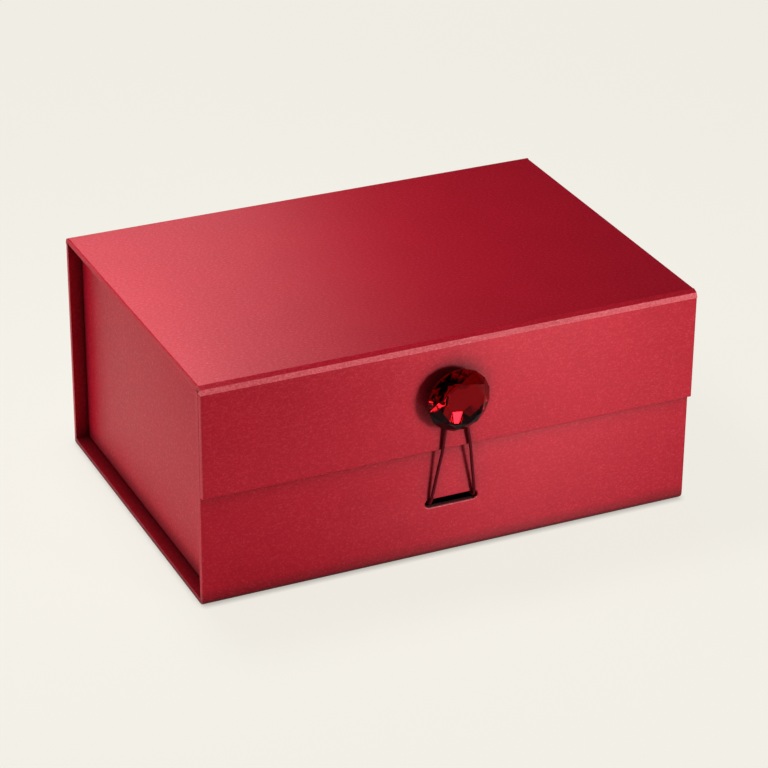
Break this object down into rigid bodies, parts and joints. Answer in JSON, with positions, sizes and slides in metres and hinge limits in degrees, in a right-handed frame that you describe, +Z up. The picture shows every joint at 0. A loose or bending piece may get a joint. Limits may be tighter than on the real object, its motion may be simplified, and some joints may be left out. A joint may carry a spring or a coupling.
{
  "type": "magnetic gift box",
  "caption": "Rectangular gift box with a hinged lid whose front flap closes over the front wall by magnets, and an elastic loop that hooks round a faceted stone.",
  "frame": {"origin": "centre of the base's underside", "axes": "+X across the box to the right as seen from the front, -Y towards the flap, +Z up"},
  "size_m": [0.23, 0.1748, 0.104],
  "materials": {
    "pearl_paper": "pearl satin",
    "liner_paper": "matt",
    "greyboard": "raw",
    "tab_card": "matt",
    "tape": "satin",
    "magnet": "bright plated",
    "steel": "plain",
    "bar_plastic": "satin",
    "elastic": "braided",
    "garnet": "polished, faceted",
    "shank_plastic": "satin",
    "foam_pad": "matt foam"
  },
  "bodies": {
    "case": {"base_wrap": "pearl_paper", "base_board": "greyboard", "base_liner": "liner_paper", "spine_wrap": "pearl_paper", "spine_board": "greyboard", "spine_liner": "liner_paper", "front_wall_wrap": "pearl_paper", "front_wall_board": "greyboard", "front_wall_liner": "liner_paper", "steel_disc_left": "steel", "steel_disc_right": "steel", "side_wall_wrap_left": "pearl_paper", "side_wall_board_left": "greyboard", "side_wall_liner_left": "liner_paper", "side_wall_wrap_right": "pearl_paper", "side_wall_board_right": "greyboard", "side_wall_liner_right": "liner_paper", "hinge_paper_left": "liner_paper", "hinge_paper_right": "liner_paper", "corner_tab_left_front": "tab_card", "corner_tab_left_rear": "tab_card", "corner_tab_right_front": "tab_card", "corner_tab_right_rear": "tab_card", "tape_strip_left_front": "tape", "tape_strip_left_rear": "tape", "tape_strip_right_front": "tape", "tape_strip_right_rear": "tape", "anchor_bar": "bar_plastic", "lid_crease": "pearl_paper"},
    "lid": {"lid_wrap": "pearl_paper", "lid_board": "greyboard", "lid_liner": "liner_paper", "flap_crease": "pearl_paper"},
    "flap": {"flap_wrap": "pearl_paper", "flap_board": "greyboard", "flap_liner": "liner_paper", "magnet_left": "magnet", "magnet_right": "magnet", "stone_pad": "foam_pad", "stone_shank": "shank_plastic", "garnet_stone": "garnet"},
    "elastic_loop": {"elastic_loop": "elastic"}
  },
  "joints": [
    {"name": "lid_hinge", "type": "hinge", "parent": "case", "child": "lid", "pos_m": [0, 0.07956, 0.10306], "axis": [-1, 0, 0], "range_deg": [0, 180], "deforming": ["lid_crease"]},
    {"name": "flap_hinge", "type": "hinge", "parent": "lid", "child": "flap", "pos_m": [0, -0.08256, 0.10306], "axis": [-1, 0, 0], "range_deg": [0, 120], "deforming": ["flap_crease"]},
    {"name": "loop_swing", "type": "hinge", "parent": "case", "child": "elastic_loop", "pos_m": [0, -0.0805, 0.0258], "axis": [1, 0, 0], "range_deg": [0, 110], "deforming": ["elastic_loop"]}
  ]
}
